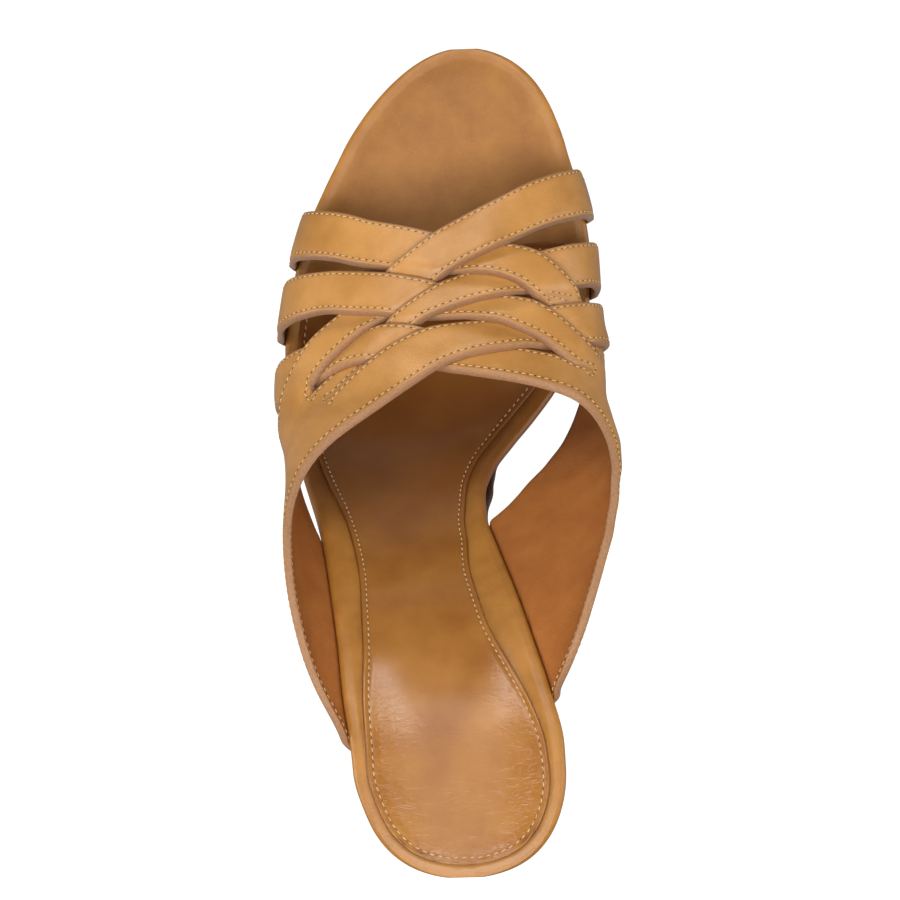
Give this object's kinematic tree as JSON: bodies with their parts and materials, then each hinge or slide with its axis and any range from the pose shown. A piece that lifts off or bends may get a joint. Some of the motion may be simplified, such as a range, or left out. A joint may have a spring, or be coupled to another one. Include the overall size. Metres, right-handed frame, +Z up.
{
  "type": "high-heeled mule",
  "caption": "Open-toe, open-back high-heeled mule, left shoe: two leather side pieces split into straps that are woven through each other over the foot.",
  "frame": {"origin": "middle of the shoe's footprint box, on the floor it stands on", "axes": "+Y towards the toe, +X towards the big-toe side, +Z up"},
  "size_m": [0.0885, 0.2033, 0.0963],
  "materials": {
    "strap_leather": "smooth tan calf leather with a soft sheen",
    "footbed_leather": "smooth tan leather wrapped over the insole board",
    "sock_leather": "glazed tan leather, lightly creased",
    "sole_leather": "dark brown, satin",
    "heel_leather": "tan leather stretched over the heel block",
    "rubber": "matte dark rubber"
  },
  "bodies": {
    "root": {"upper": "strap_leather", "footbed": "footbed_leather", "sock": "sock_leather", "outsole": "sole_leather", "heel": "heel_leather", "top_piece": "rubber"}
  },
  "joints": []
}
